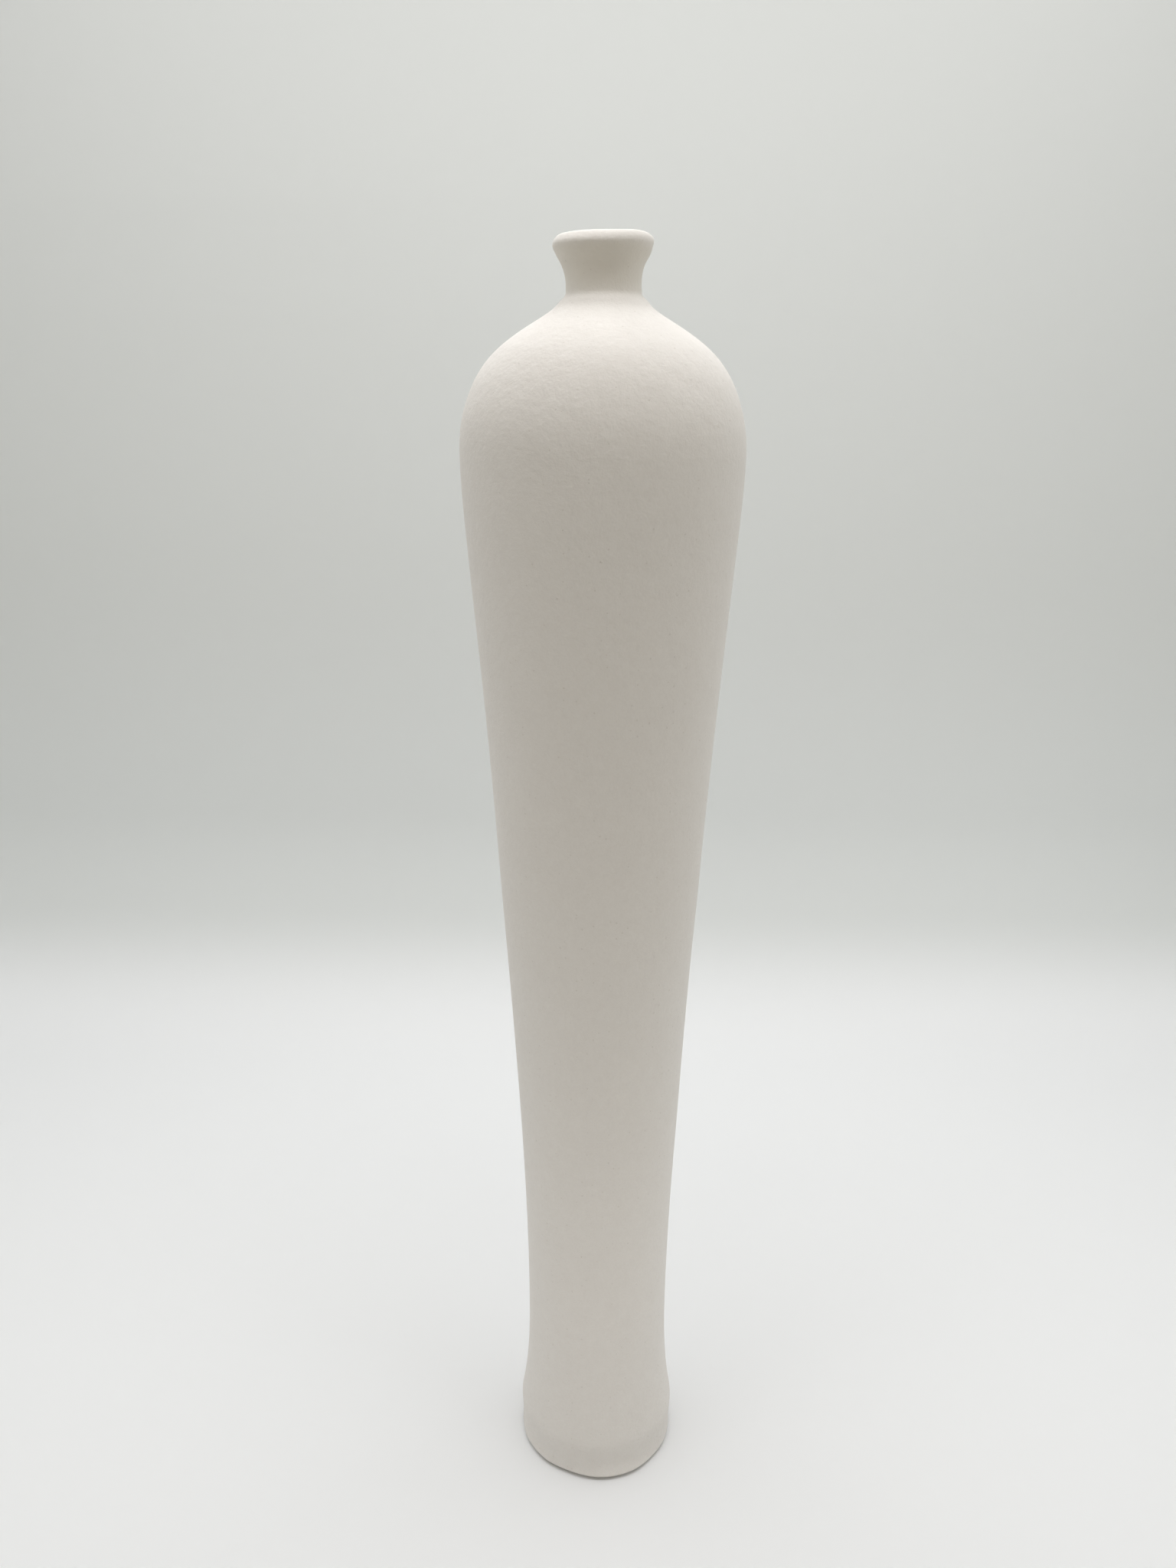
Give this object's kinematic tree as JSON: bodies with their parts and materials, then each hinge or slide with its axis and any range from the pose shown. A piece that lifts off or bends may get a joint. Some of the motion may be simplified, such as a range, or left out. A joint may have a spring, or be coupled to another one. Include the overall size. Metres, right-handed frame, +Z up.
{
  "type": "bud vase",
  "caption": "Tall slender ceramic bud vase with a bulged foot, a tapering body, a round shoulder and a short neck with a flared lip; holds a single stem.",
  "frame": {"origin": "middle of the foot's underside, at the height of the surface it stands on", "axes": "+Z up along the axis that every piece is turned about; X and Y are free, because the vase is round"},
  "size_m": [0.0724, 0.0724, 0.36],
  "materials": {
    "bisque": "matte unglazed, fine sanded grain",
    "liner_glaze": "clear satin liner glaze over the same clay"
  },
  "bodies": {
    "root": {"foot_ring": "bisque", "base_slab": "bisque", "lower_wall": "bisque", "upper_wall": "bisque", "shoulder": "bisque", "neck": "bisque", "lip": "bisque", "liner_glaze": "liner_glaze"}
  },
  "joints": []
}
